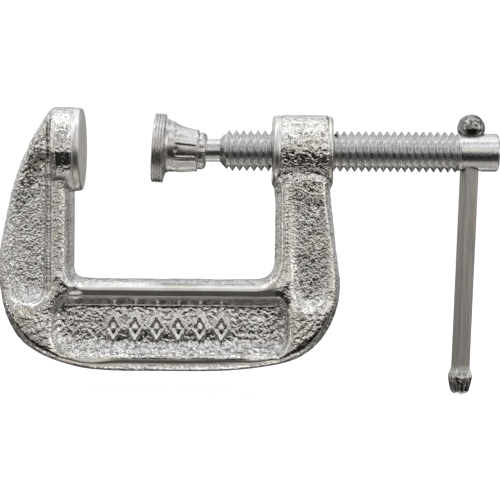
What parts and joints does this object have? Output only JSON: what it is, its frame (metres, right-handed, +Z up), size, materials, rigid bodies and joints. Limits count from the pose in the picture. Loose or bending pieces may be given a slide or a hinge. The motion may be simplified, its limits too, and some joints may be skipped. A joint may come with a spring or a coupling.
{
  "type": "c clamp",
  "caption": "Small cast C-clamp with a V-threaded screw, a swivel pad on a ball end and a sliding tommy bar through the screw's barrel head.",
  "frame": {"origin": "centre of the anvil face, on the screw's axis", "axes": "+X along the screw from the anvil to the handle, +Z up, the front of the frame looks towards -Y"},
  "size_m": [0.0972, 0.016, 0.0553],
  "materials": {
    "cast_plated": "bright nickel plate over a pebbly casting, ground anvil face",
    "turned_steel": "turned and thread-cut, bright plated",
    "pad_steel": "turned and crimped, bright plated",
    "drawn_steel": "drawn square bar with a polished ball head"
  },
  "bodies": {
    "frame": {"frame": "cast_plated"},
    "pad": {"swivel_pad": "pad_steel"},
    "spindle": {"spindle": "turned_steel"},
    "bar": {"tommy_bar": "drawn_steel"}
  },
  "joints": [
    {"name": "feed", "type": "slide", "parent": "frame", "child": "pad", "axis": [1, 0, 0], "range_m": [-0.01335, 0.01295]},
    {"name": "screw_spin", "type": "hinge", "parent": "pad", "child": "spindle", "pos_m": [0.0211, 0, 0], "axis": [1, 0, 0], "range_deg": [-3400, 3300]},
    {"name": "bar_slide", "type": "slide", "parent": "spindle", "child": "bar", "axis": [0.0366, 0, 0.9993], "range_m": [0, 0.0375]}
  ],
  "couplings": [
    {"joint": "feed", "follows": "screw_spin", "m_per_rad": 0.00022459}
  ]
}
